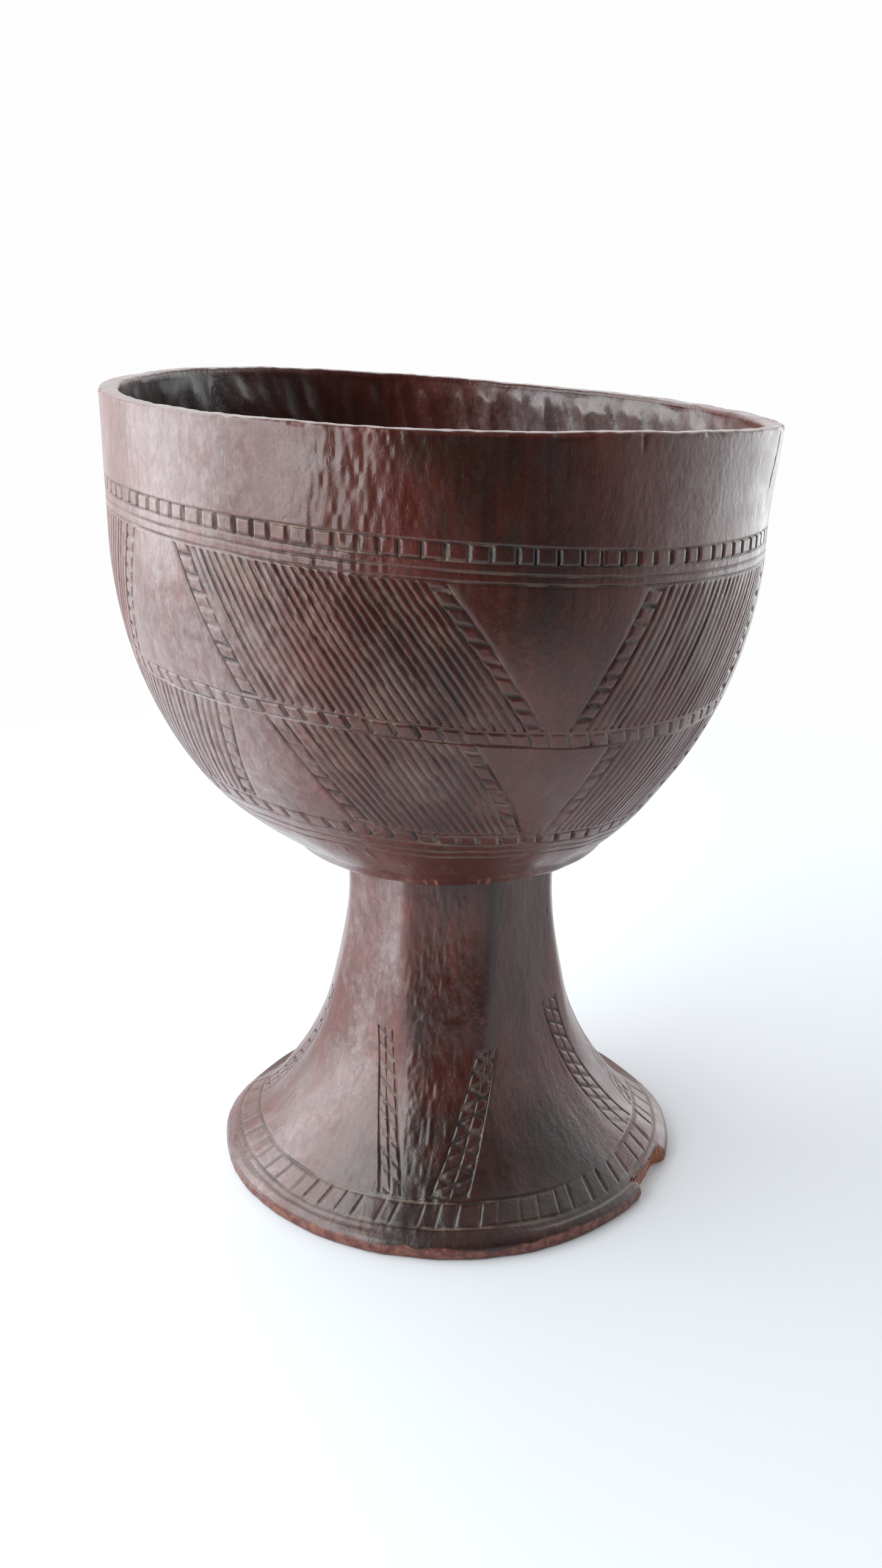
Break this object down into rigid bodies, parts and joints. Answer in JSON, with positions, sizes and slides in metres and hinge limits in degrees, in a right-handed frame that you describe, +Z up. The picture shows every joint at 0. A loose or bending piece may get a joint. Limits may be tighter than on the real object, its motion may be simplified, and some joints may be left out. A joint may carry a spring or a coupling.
{
  "type": "carved footed bowl",
  "caption": "Hand-carved wooden bowl: a deep round cup with ladder rings and slanted hatched panels, on a flared pedestal foot.",
  "frame": {"origin": "on the ground, at the bottom centre of the bowl's box, which is under the middle of the cup", "axes": "+Z up out of the cup, +X towards the low side of the tilted rim, -Y towards the viewer"},
  "size_m": [0.199, 0.199, 0.2553],
  "materials": {
    "cup_wood": "dark red-brown hardwood with a hand-worn patina, knife-cut lines and fine upright grain",
    "pedestal_wood": "dark red-brown hardwood with a hand-worn patina, bare reddish wood along the worn foot edge"
  },
  "bodies": {
    "root": {"cup": "cup_wood", "pedestal": "pedestal_wood"}
  },
  "joints": []
}
